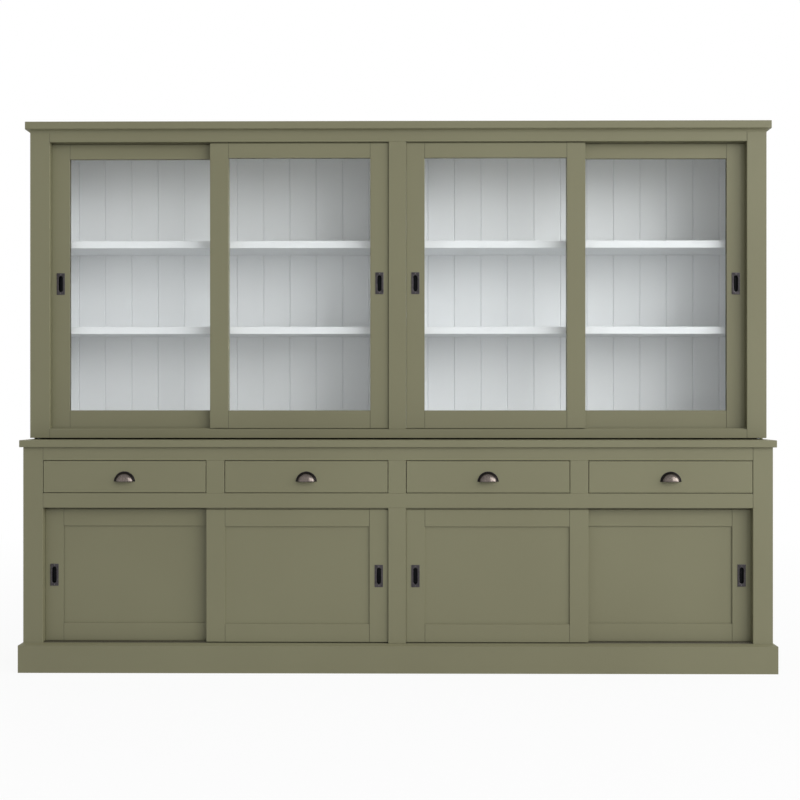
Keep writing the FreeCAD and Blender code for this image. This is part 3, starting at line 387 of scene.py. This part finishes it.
def door_paint(name, low, high):
    """Olive paint on a door frame whose rails end at two values of X, brushed along each piece."""
    finish, tree, shader = start_finish(name)
    place = place_in_object(tree)
    tone = paint_tone(tree, place, OLIVE)
    tree.links.new(with_joints(tree, place, tone, low, high), shader.inputs["Base Color"])
    marks = framed_streaks(tree, place, BRUSH_FINENESS, "zx", (low, high))
    paint_surface(tree, shader, marks)
    return finish


print("paint recipes ready")

# %% [markdown]
# ## Painting the cabinet
#
# A finish is given to a node by filling its material slot. Posts and panels are brushed
# upwards, rails and tops along their length. The side panels are olive outside and white inside,
# and so is the floor of the base: the sill in front of the doors belongs to the outside.

# %% Give each painted node its finish
STILE_WIDTH = 0.074
EDGE_ROOM = 0.0005


def give(finish, *names):
    """Fill the material slot of each of these nodes."""
    for name in names:
        slots = NODES[name].data.materials
        slots.clear()
        slots.append(finish)


give(paint("olive_upright", OLIVE, "z"), "base_posts", "upper_posts", "drawer_muntins",
     *[f"{name}_door_panel" for name in POSITIONS])
olive_level = paint("olive_level", OLIVE, "x")
give(olive_level, "plinth", "worktop", "cornice_board", "cornice_moulding",
     "upper_door_runners", *[f"{name}_drawer_front" for name in POSITIONS])
for node in ("base_rails", "upper_rails"):
    low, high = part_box(node)
    give(rail_paint(f"{node}_paint", low.x, high.x), node)
give(paint("white_upright", COOL_WHITE, "z"), "base_back", "partitions")
# The back boards: a lighter copy of the white as painted light, with painted shade in the grooves.
give(boarded_paint("boarded_white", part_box("upper_back")[0].y), "upper_back")
give(paint("white_level", COOL_WHITE, "x"), "shelves", "drawer_decks", "upper_floor")
give(paint("white_inward", COOL_WHITE, "y"), "shelf_battens")

outer_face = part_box("upper_side_panels")[1].x
inner_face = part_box("upper_floor")[1].x
side_middle = (outer_face + inner_face) / 2
give(two_tone_paint("side_panel_paint", "z", "X", -side_middle, side_middle),
     "base_side_panels", "upper_side_panels")

sill_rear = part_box("base_posts")[1].y + EDGE_ROOM
floor_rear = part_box("base_floor")[1].y + EDGE_ROOM
give(two_tone_paint("base_floor_paint", "x", "Y", sill_rear, floor_rear), "base_floor")

for name in POSITIONS:
    for kind in DOOR_KINDS:
        node = f"{name}_{kind}_door_frame"
        low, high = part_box(node)
        rails = (low.x + STILE_WIDTH, high.x - STILE_WIDTH)
        give(door_paint(f"{node}_paint", *rails), node)
print("painted, sill ends at", round(sill_rear, 4))

# %% [markdown]
# ## Plain wood
#
# The drawer boxes and the bearers under the floor are bare planed wood. The strips that the panel
# doors run on are painted very dark, as painted shade in the gap under the doors. The grain is the
# same stretched noise at two scales: broad bands of early and late wood, and fine pores between
# them. A drawer's sides run front to back, its bottom and rear run across, so its grain changes
# direction at the sides.

# %% Wood recipe
PALE_WOOD = ((0.60, 0.44, 0.27, 1), (0.43, 0.28, 0.15, 1))
# Very dark wood for the door strips: painted shade in the gap under the panel doors.
STRIP_PAINTED_SHADE = ((0.062, 0.056, 0.034, 1), (0.040, 0.035, 0.021, 1))
BAND_FINENESS = 38
PORE_FINENESS = 420
BAND_RANGE = (0.35, 0.65)
PORE_RANGE = (0.5, 0.8)
PORE_SHARE = 0.45
PORE_STRENGTH = 0.6
WOOD_SHEEN = (0.48, 0.62)
DRAWER_SIDE = 0.012
ANY_SPAN = (0, 1)


def plain_wood(name, tones, runs, span):
    """Planed wood, with its grain along one axis outside a span of X and another inside it."""
    finish, tree, shader = start_finish(name)
    place = place_in_object(tree)
    bands = framed_streaks(tree, place, BAND_FINENESS, runs, span)
    pores = framed_streaks(tree, place, PORE_FINENESS, runs, span)
    toned = between(tree, remap(tree, bands, *BAND_RANGE, 0, 1), *tones)
    speckled = between(tree, remap(tree, pores, *PORE_RANGE, 0, PORE_SHARE), toned, tones[1])
    tree.links.new(speckled, shader.inputs["Base Color"])
    tree.links.new(remap(tree, pores, *MIDDLE, *WOOD_SHEEN), shader.inputs["Roughness"])
    bump = add_node(tree, "Bump", inputs={
        "Height": pores, "Distance": BRUSH_DEPTH, "Strength": PORE_STRENGTH})
    tree.links.new(bump.outputs[0], shader.inputs["Normal"])
    return finish


give(plain_wood("bearer_wood", PALE_WOOD, "yy", ANY_SPAN), "floor_bearers", "drawer_runners")
give(plain_wood("strip_wood", STRIP_PAINTED_SHADE, "xx", ANY_SPAN), "base_door_runners")
for name in POSITIONS:
    node = f"{name}_drawer_box"
    low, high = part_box(node)
    span = (low.x + DRAWER_SIDE, high.x - DRAWER_SIDE)
    give(plain_wood(f"{node}_wood", PALE_WOOD, "yx", span), node)
print("plain wood on drawers, bearers and strips")

# %% [markdown]
# ## Clear glass
#
# The panes are float glass with a faint green tint. A glass shader bends light properly, but the
# render then treats every lamp behind it as a difficult caustic, and the shelves turn dark and
# grainy. Real thin panes hardly dim the light, so the panes keep their reflections and simply
# cast no shadow. Very faint noise in the sheen stands for the traces of wiping.

# %% Glass
GLASS_TINT = ((0.985, 0.995, 0.99, 1), (0.965, 0.985, 0.975, 1))
GLASS_BEND = 1.52
WIPE_SCALE = 6
WIPE_DETAIL = 4
WIPE_SWIRL = 1.5
WIPE_RANGE = (0.45, 0.8)
WIPE_SHEEN = (0.0, 0.03)

clear_glass, tree, shader = start_finish("clear_glass")
wiping = add_node(tree, "TexNoise", inputs={
    "Vector": place_in_object(tree), "Scale": WIPE_SCALE, "Detail": WIPE_DETAIL,
    "Distortion": WIPE_SWIRL}).outputs[0]
tree.links.new(between(tree, wiping, *GLASS_TINT), shader.inputs["Base Color"])
tree.links.new(remap(tree, wiping, *WIPE_RANGE, *WIPE_SHEEN), shader.inputs["Roughness"])
shader.inputs["Transmission Weight"].default_value = 1
shader.inputs["IOR"].default_value = GLASS_BEND
for name in POSITIONS:
    pane = f"{name}_door_glass"
    give(clear_glass, pane)
    NODES[pane].visible_shadow = False
print("glass in", len(POSITIONS), "doors")

# %% [markdown]
# ## Metal finishes
#
# The pulls are dark bronzed metal. The dome of a cup turns from near black at its flange to pale
# pewter at its front, and it is darker again at its lower lip. This is partly wear, where hands rub
# the dome, and partly painted reflection of dark surroundings, with painted shade at the lip. All
# the cups stand out from the same plane, so how far a point is in front of that plane sets how pale
# it is. The edges of the plates get a paler material of their own, which the bevel hands out by
# itself: partly wear, partly painted highlight. The pocket behind each plate is painted near black:
# painted shade in the slot.

# %% Metal recipes
# Near black: the cup's dark skin, which also stands for painted reflection and shade at rim and lip.
DARK_SKIN_AND_SHADE = (0.018, 0.016, 0.017, 1)
PEWTER = (0.185, 0.155, 0.138, 1)
PLATE_SKIN = ((0.074, 0.068, 0.071, 1), (0.048, 0.044, 0.047, 1))
# Paler plate edges and screw heads: partly rubbed metal, partly painted highlight.
PLATE_EDGE_WEAR_AND_HIGHLIGHT = ((0.21, 0.195, 0.20, 1), (0.095, 0.088, 0.090, 1))
# Near black inside the slot: painted shade.
POCKET_PAINTED_SHADE = ((0.006, 0.006, 0.007, 1), (0.012, 0.012, 0.013, 1))
STEEL = ((0.55, 0.55, 0.56, 1), (0.42, 0.42, 0.43, 1))
CUP_SHEEN = (0.18, 0.30)
PLATE_SHEEN = (0.32, 0.46)
EDGE_SHEEN = (0.24, 0.36)
POCKET_SHEEN = (0.45, 0.60)
STEEL_SHEEN = (0.28, 0.42)
# The band above the lower lip is painted darker: painted shade.
LIP_BAND = 0.003
LIP_SHADE = 0.25
PATCH_RANGE = (0.3, 0.6)
PATCH_WEAR = (0.65, 1)
MOTTLE_SCALE = 160
MOTTLE_DETAIL = 4
MOTTLE_RANGE = (0.35, 0.65)
HAMMER_DEPTH = 0.00008
HAMMER_STRENGTH = 0.5


def metal(name, tones, sheen):
    """Mottled metal between two tones."""
    finish, tree, shader = start_finish(name)
    mottle = add_node(tree, "TexNoise", inputs={
        "Vector": place_in_object(tree), "Scale": MOTTLE_SCALE, "Detail": MOTTLE_DETAIL}).outputs[0]
    tree.links.new(between(tree, remap(tree, mottle, *MOTTLE_RANGE, 0, 1), *tones),
                   shader.inputs["Base Color"])
    tree.links.new(remap(tree, mottle, *MIDDLE, *sheen), shader.inputs["Roughness"])
    shader.inputs["Metallic"].default_value = 1
    bump = add_node(tree, "Bump", inputs={
        "Height": mottle, "Distance": HAMMER_DEPTH, "Strength": HAMMER_STRENGTH})
    tree.links.new(bump.outputs[0], shader.inputs["Normal"])
    return finish, tree, shader, mottle


def wear_and_reflection_cup_metal(face, front, foot):
    """Dark at flange and lip, pewter at the dome's front: wear with painted reflection and shade."""
    finish, tree, shader, mottle = metal("wear_and_reflection_cup_metal", (DARK_SKIN_AND_SHADE, DARK_SKIN_AND_SHADE), CUP_SHEEN)
    parts = add_node(tree, "SeparateXYZ", inputs={0: place_in_object(tree)}).outputs
    # Paler towards the front of the dome: rubbing, with painted reflection of dark surroundings near
    # the flange.
    wear_and_reflection = remap(tree, parts["Y"], face, front, 0, 1)
    # Darker at the lower lip: painted shade.
    above_lip = remap(tree, parts["Z"], foot, foot + LIP_BAND, LIP_SHADE, 1)
    patchy = remap(tree, mottle, *PATCH_RANGE, *PATCH_WEAR)
    rubbed_and_shaded = calculate(tree, "MULTIPLY", wear_and_reflection, above_lip)
    wear_and_painted_light = calculate(tree, "MULTIPLY", rubbed_and_shaded, patchy)
    tree.links.new(between(tree, wear_and_painted_light, DARK_SKIN_AND_SHADE, PEWTER), shader.inputs["Base Color"])
    return finish


plate_metal = metal("plate_metal", PLATE_SKIN, PLATE_SHEEN)[0]
edge_wear_and_highlight_metal = metal("worn_and_highlit_edge_metal", PLATE_EDGE_WEAR_AND_HIGHLIGHT, EDGE_SHEEN)[0]
pocket_shade_metal = metal("pocket_shade_metal", POCKET_PAINTED_SHADE, POCKET_SHEEN)[0]
steel = metal("screw_steel", STEEL, STEEL_SHEEN)[0]
give(steel, "back_screws")
print("metal recipes ready")

# %% [markdown]
# ## Modelling helpers
#
# The moulding and the pulls are modelled by operators, as by hand. An operator works on whatever
# is selected, so each step first selects exactly what it needs: one object, or the points and
# edges that pass a test of their place.

# %% Selection helpers
CLOSE = 1e-6
SMOOTH_ANGLE = math.radians(35)


def select_only(*pieces):
    """Select these objects and nothing else, with the first one active."""
    bpy.ops.object.select_all(action="DESELECT")
    for piece in pieces:
        piece.select_set(True)
    bpy.context.view_layer.objects.active = pieces[0]


def select_points(test):
    """In edit mode, select the points that pass a test, with the edges and faces between them."""
    mesh = bmesh.from_edit_mesh(bpy.context.object.data)
    bpy.ops.mesh.select_mode(type="VERT")
    bpy.ops.mesh.select_all(action="DESELECT")
    for point in mesh.verts:
        point.select = test(point.co)
    mesh.select_flush(True)
    bmesh.update_edit_mesh(bpy.context.object.data)


def finish_with(piece, kind, **settings):
    """Add a modifier with these settings and apply it."""
    modifier = piece.modifiers.new(kind.lower(), kind)
    for name, value in settings.items():
        setattr(modifier, name, value)
    select_only(piece)
    bpy.ops.object.modifier_apply(modifier=modifier.name)


def discard(piece):
    """Delete an object that was only a tool or a pattern."""
    select_only(piece)
    bpy.ops.object.delete()


def join(*pieces):
    """Join several objects into the first."""
    select_only(*pieces)
    bpy.ops.object.join()
    return pieces[0]


def settle(piece):
    """Move a piece's place, turn and scale into its mesh."""
    select_only(piece)
    bpy.ops.object.transform_apply(location=True, rotation=True, scale=True)


def copy_to(piece, name, step):
    """A copy with a mesh of its own, moved by a step, and settled at the origin."""
    select_only(piece)
    bpy.ops.object.duplicate(linked=False)
    twin = bpy.context.object
    twin.name = name
    bpy.ops.transform.translate(value=step)
    settle(twin)
    return twin


print("selection helpers ready")

# %% [markdown]
# ## The hollow under the cornice
#
# Under the overhanging board of the cornice runs a narrow moulding with a hollow face: dark at the
# top, where it faces down, and light at the bottom, where it faces forward. Seen from above, it is
# a U round the front and the sides. So the U is drawn once at the bottom, as three edges of a plane,
# and extruded upwards step by step, wider each time. Scaling about a point on the back keeps both
# ends flush there. A short lip, the flat top and the inner face close the shape.

# %% Model the moulding
HOLLOW = 0.9
HOLLOW_STEPS = 10
MOULDING_LIP = 0.001
MERGE_DISTANCE = 1e-5

low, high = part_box("cornice_moulding")
moulding_foot = low.z
moulding_top = high.z
moulding_rear = high.y
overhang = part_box("upper_posts")[0].y - low.y
case_half = high.x - overhang
case_depth = moulding_rear - low.y - overhang
hollow_height = moulding_top - moulding_foot - MOULDING_LIP


def hollow_point(share):
    """Reach and level of the hollow at a share of its way up, between a bevel and a full cove."""
    turn = share * QUARTER_TURN
    reach = (1 - HOLLOW) * share + HOLLOW * (1 - math.cos(turn))
    climb = (1 - HOLLOW) * share + HOLLOW * math.sin(turn)
    return overhang * reach, moulding_foot + hollow_height * climb


def widen(start, end):
    """Extrude the selected U from one reach and level to the next."""
    growth = ((case_half + end[0]) / (case_half + start[0]),
              (case_depth + end[0]) / (case_depth + start[0]), 1)
    bpy.ops.mesh.extrude_edges_move()
    bpy.ops.transform.resize(value=growth, center_override=(0, moulding_rear, start[1]))
    bpy.ops.transform.translate(value=(0, 0, end[1] - start[1]))


plane_middle = (0, moulding_rear - case_depth / 2, moulding_foot)
bpy.ops.mesh.primitive_plane_add(size=1, location=plane_middle)
moulding = bpy.context.object
moulding.name = "hollow_moulding"
moulding.scale = (2 * case_half, case_depth, 1)
settle(moulding)
bpy.ops.object.mode_set(mode="EDIT")
bpy.ops.mesh.select_all(action="SELECT")
bpy.ops.mesh.delete(type="ONLY_FACE")
select_points(lambda co: co.y > moulding_rear - CLOSE)
bpy.ops.mesh.delete(type="EDGE")
bpy.ops.mesh.select_all(action="SELECT")
stations = [hollow_point(step / HOLLOW_STEPS) for step in range(HOLLOW_STEPS + 1)]
stations += [(overhang, moulding_top), (0, moulding_top), (0, moulding_foot)]
for start, end in zip(stations, stations[1:]):
    widen(start, end)
bpy.ops.mesh.select_all(action="SELECT")
bpy.ops.mesh.remove_doubles(threshold=MERGE_DISTANCE)
for side in (-1, 1):
    select_points(lambda co: co.y > moulding_rear - CLOSE and co.x * side > 0)
    bpy.ops.mesh.edge_face_add()
bpy.ops.mesh.select_all(action="SELECT")
bpy.ops.mesh.normals_make_consistent(inside=False)
bpy.ops.object.mode_set(mode="OBJECT")
bpy.ops.object.shade_smooth_by_angle(angle=SMOOTH_ANGLE)
moulding.data.materials.append(olive_level)
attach(moulding, "carcass")
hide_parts("cornice_moulding")
print("moulding with", len(moulding.data.polygons), "faces")

# %% [markdown]
# ## Cup pulls
#
# Each drawer has a half-round cup that the fingers reach into from below. Its skin is a quarter
# of a ball, squeezed flat towards the drawer, with a narrow flange round its edge. A ball cut by
# two planes gives the dome, extruding its open edge gives the flange, and a Solidify modifier
# gives the sheet its thickness. The screws come through the drawer front from inside.

# %% Model one cup
CUP_RADIUS = 0.042
DOME_RADIUS = 0.037
CUP_WALL = 0.002
FOLD_RADIUS = 0.0016
LIP_RADIUS = 0.0006
FOLD_SEGMENTS = 4
LIP_SEGMENTS = 2
WEAR_AND_REFLECTION_START = 3 * CUP_WALL
BALL_SEGMENTS = 72
BALL_RINGS = 36

first_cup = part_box("left_outer_cup_pull")
drawer_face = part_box("left_outer_drawer_front")[0].y
cup_middle = (first_cup[0].x + first_cup[1].x) / 2
cup_level = first_cup[1].z - CUP_RADIUS
cup_foot = first_cup[0].z
dome_depth = drawer_face - first_cup[0].y - CUP_WALL
cup_center = Vector((cup_middle, drawer_face - CUP_WALL, cup_level))

bpy.ops.mesh.primitive_uv_sphere_add(
    segments=BALL_SEGMENTS, ring_count=BALL_RINGS, radius=1, rotation=(QUARTER_TURN, 0, 0))
cup = bpy.context.object
settle(cup)
bpy.ops.object.mode_set(mode="EDIT")
bpy.ops.mesh.select_all(action="SELECT")
bpy.ops.mesh.bisect(plane_co=(0, 0, 0), plane_no=(0, 1, 0), clear_outer=True)
bpy.ops.mesh.select_all(action="SELECT")
bpy.ops.mesh.bisect(plane_co=(0, 0, 0), plane_no=(0, 0, -1), clear_outer=True)
bpy.ops.mesh.select_all(action="SELECT")
bpy.ops.transform.resize(value=(DOME_RADIUS, dome_depth, DOME_RADIUS), center_override=(0, 0, 0))
select_points(lambda co: abs(co.y) < CLOSE)
bpy.ops.mesh.extrude_edges_move()
bpy.ops.transform.resize(value=(CUP_RADIUS / DOME_RADIUS, 1, CUP_RADIUS / DOME_RADIUS),
                         center_override=(0, 0, 0))
select_points(lambda co: abs(co.y) < CLOSE and math.hypot(co.x, co.z) < DOME_RADIUS + CLOSE)
bpy.ops.mesh.bevel(offset=FOLD_RADIUS, segments=FOLD_SEGMENTS)
bpy.ops.mesh.select_all(action="SELECT")
bpy.ops.transform.translate(value=cup_center)
bpy.ops.mesh.select_all(action="SELECT")
bpy.ops.mesh.bisect(plane_co=(0, 0, cup_foot), plane_no=(0, 0, -1), clear_outer=True)
bpy.ops.object.mode_set(mode="OBJECT")
finish_with(cup, "SOLIDIFY", thickness=CUP_WALL, offset=-1, use_even_offset=True)
finish_with(cup, "BEVEL", width=LIP_RADIUS, segments=LIP_SEGMENTS, limit_method="ANGLE")
print("cup with", len(cup.data.polygons), "faces")

# %% [markdown]
# ## The screws of a cup
#
# Inside the drawer each cup shows two round screw heads, and inside the cup two bosses take their
# threads. A head is a short cylinder with a softened rim, and its slot is cut by a thin box with
# a Boolean modifier.

# %% Model the screws and bosses
CUP_SCREW_RADIUS = 0.004
CUP_SCREW_HEIGHT = 0.0025
CUP_SCREW_SPREAD = 0.022
CUP_SCREW_RISE = 0.012
BOSS_RADIUS = 0.0045
BOSS_LENGTH = 0.0132
SLOT_WIDTH = 0.0011
ROUND_SIDES = 28
RIM_SHARE = 0.3
RIM_SEGMENTS = 3
BLADE_REACH = 4


def round_bar(place, radius, length):
    """A short cylinder along Y."""
    bpy.ops.mesh.primitive_cylinder_add(
        vertices=ROUND_SIDES, radius=radius, depth=length, location=place,
        rotation=(QUARTER_TURN, 0, 0))
    bar = bpy.context.object
    settle(bar)
    return bar


def screw_head(place, radius, height):
    """A slotted screw head along Y, softened at its rim."""
    head = round_bar(place, radius, height)
    finish_with(head, "BEVEL", width=height * RIM_SHARE, segments=RIM_SEGMENTS,
                limit_method="ANGLE")
    bpy.ops.mesh.primitive_cube_add(size=1, location=place)
    blade = bpy.context.object
    blade_depth = height * BLADE_REACH
    blade.scale = (radius * BLADE_REACH, blade_depth, SLOT_WIDTH)
    blade.location.y += blade_depth / 2
    settle(blade)
    finish_with(head, "BOOLEAN", operation="DIFFERENCE", object=blade, solver="EXACT")
    discard(blade)
    return head


drawer_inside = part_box("left_outer_drawer_front")[1].y
cup_parts = [cup]
for side in (-1, 1):
    x = cup_middle + side * CUP_SCREW_SPREAD
    z = cup_level + CUP_SCREW_RISE
    boss = round_bar((x, drawer_face - BOSS_LENGTH / 2, z), BOSS_RADIUS, BOSS_LENGTH)
    head_place = Vector((x, drawer_inside + CUP_SCREW_HEIGHT / 2, z))
    cup_parts += [boss, screw_head(head_place, CUP_SCREW_RADIUS, CUP_SCREW_HEIGHT)]
cup = join(*cup_parts)
bpy.ops.object.shade_smooth_by_angle(angle=SMOOTH_ANGLE)
cup_metal = wear_and_reflection_cup_metal(drawer_face - WEAR_AND_REFLECTION_START, first_cup[0].y + CUP_WALL, cup_foot)
cup.data.materials.clear()
cup.data.materials.append(cup_metal)
print("cup with its screws", len(cup.data.polygons), "faces")

# %% Put a cup on every drawer
for name in POSITIONS:
    low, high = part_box(f"{name}_cup_pull")
    step = ((low.x + high.x) / 2 - cup_middle, 0, 0)
    piece = copy_to(cup, f"{name}_cup", step)
    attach(piece, f"{name}_drawer")
    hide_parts(f"{name}_cup_pull")
discard(cup)
print("cups on", len(POSITIONS), "drawers")

# %% [markdown]
# ## Flush pulls
#
# Each door has a flat plate let into its stile, with a sunk slot for the fingertips, so that one
# door can pass behind another. The slot is a cylinder whose upper half is pushed up and whose lower
# half is pushed down. The same shape, open at the front and given a wall, is the pocket behind
# the plate.

# %% Model one flush pull
PLATE_THICKNESS = 0.002
PLATE_CORNER = 0.0012
PLATE_EASE = 0.0005
CORNER_SEGMENTS = 4
EASE_SEGMENTS = 2
EDGE_SLOT = 1
CUTTER_DEPTH = 4 * PLATE_THICKNESS
SLOT_RADIUS = 0.009
SLOT_HEIGHT = 0.066
POCKET_DEPTH = 0.011
POCKET_WALL = 0.001
ARC_SIDES = 48
PULL_SCREW_RADIUS = 0.0026
PULL_SCREW_INSET = 0.0055
PULL_SCREW_RISE = 0.0002


def slot_shape(place, radius, height, depth):
    """A solid slot shape along Y: a cylinder drawn out upwards and downwards."""
    bpy.ops.mesh.primitive_cylinder_add(
        vertices=ARC_SIDES, radius=radius, depth=depth, rotation=(QUARTER_TURN, 0, 0))
    shape = bpy.context.object
    settle(shape)
    reach = height / 2 - radius
    bpy.ops.object.mode_set(mode="EDIT")
    select_points(lambda co: co.z > CLOSE)
    bpy.ops.transform.translate(value=(0, 0, reach))
    select_points(lambda co: co.z < -CLOSE)
    bpy.ops.transform.translate(value=(0, 0, -reach))
    bpy.ops.object.mode_set(mode="OBJECT")
    shape.location = place
    settle(shape)
    return shape


first_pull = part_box("left_outer_panel_door_pull")
plate_size = (first_pull[1].x - first_pull[0].x, first_pull[1].z - first_pull[0].z)
plate_front = first_pull[0].y
pull_middle = Vector(((first_pull[0].x + first_pull[1].x) / 2, plate_front,
                      (first_pull[0].z + first_pull[1].z) / 2))

bpy.ops.mesh.primitive_cube_add(size=1, location=pull_middle + Vector((0, PLATE_THICKNESS / 2, 0)))
plate = bpy.context.object
plate.scale = (plate_size[0], PLATE_THICKNESS, plate_size[1])
settle(plate)
bpy.ops.object.mode_set(mode="EDIT")
bpy.ops.mesh.select_mode(type="EDGE")
bpy.ops.mesh.select_all(action="DESELECT")
edges = bmesh.from_edit_mesh(plate.data).edges
for edge in edges:
    edge.select = abs(edge.verts[0].co.y - edge.verts[1].co.y) > CLOSE
bpy.ops.mesh.bevel(offset=PLATE_CORNER, segments=CORNER_SEGMENTS)
bpy.ops.object.mode_set(mode="OBJECT")
cutter = slot_shape(pull_middle, SLOT_RADIUS, SLOT_HEIGHT, CUTTER_DEPTH)
finish_with(plate, "BOOLEAN", operation="DIFFERENCE", object=cutter, solver="EXACT")
discard(cutter)
for finish in (plate_metal, edge_wear_and_highlight_metal, pocket_shade_metal):
    plate.data.materials.append(finish)
# The bevel gives the plate's eased edges the paler metal: partly rubbed metal, partly painted
# highlight.
finish_with(plate, "BEVEL", width=PLATE_EASE, segments=EASE_SEGMENTS, limit_method="ANGLE",
            material=EDGE_SLOT)
print("plate with", len(plate.data.polygons), "faces")

# %% Model its pocket and screws
pocket_length = POCKET_DEPTH - PLATE_THICKNESS
pocket_middle = pull_middle + Vector((0, PLATE_THICKNESS + pocket_length / 2, 0))
pocket = slot_shape(pocket_middle, SLOT_RADIUS, SLOT_HEIGHT, pocket_length)
bpy.ops.object.mode_set(mode="EDIT")
mouth = pocket_middle.y - pocket_length / 2
select_points(lambda co: abs(co.y - mouth) < CLOSE)
bpy.ops.mesh.delete(type="ONLY_FACE")
bpy.ops.object.mode_set(mode="OBJECT")
finish_with(pocket, "SOLIDIFY", thickness=POCKET_WALL, offset=1)
# The pocket's inside is painted near black: painted shade in the slot.
pocket.data.materials.append(pocket_shade_metal)

pull_parts = [plate, pocket]
for side in (-1, 1):
    rise = side * (plate_size[1] / 2 - PULL_SCREW_INSET)
    head_place = pull_middle + Vector((0, PLATE_THICKNESS / 2 - PULL_SCREW_RISE, rise))
    head = screw_head(head_place, PULL_SCREW_RADIUS, PLATE_THICKNESS)
    select_only(head)
    bpy.ops.object.mode_set(mode="EDIT")
    bpy.ops.mesh.select_all(action="SELECT")
    bpy.ops.transform.rotate(value=HALF_TURN, orient_axis="Z", center_override=head_place)
    bpy.ops.object.mode_set(mode="OBJECT")
    head.data.materials.append(edge_wear_and_highlight_metal)
    pull_parts.append(head)
pull = join(*pull_parts)
bpy.ops.object.shade_smooth_by_angle(angle=SMOOTH_ANGLE)
print("flush pull with", len(pull.data.polygons), "faces")

# %% Put a flush pull on every door
for name in POSITIONS:
    for kind in DOOR_KINDS:
        node = f"{name}_{kind}_door_pull"
        low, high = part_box(node)
        place = Vector(((low.x + high.x) / 2, low.y, (low.z + high.z) / 2))
        piece = copy_to(pull, f"{name}_{kind}_door_flush_pull", place - pull_middle)
        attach(piece, f"{name}_{kind}_door")
        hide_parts(node)
discard(pull)
print("flush pulls on", len(DOOR_KINDS) * len(POSITIONS), "doors")
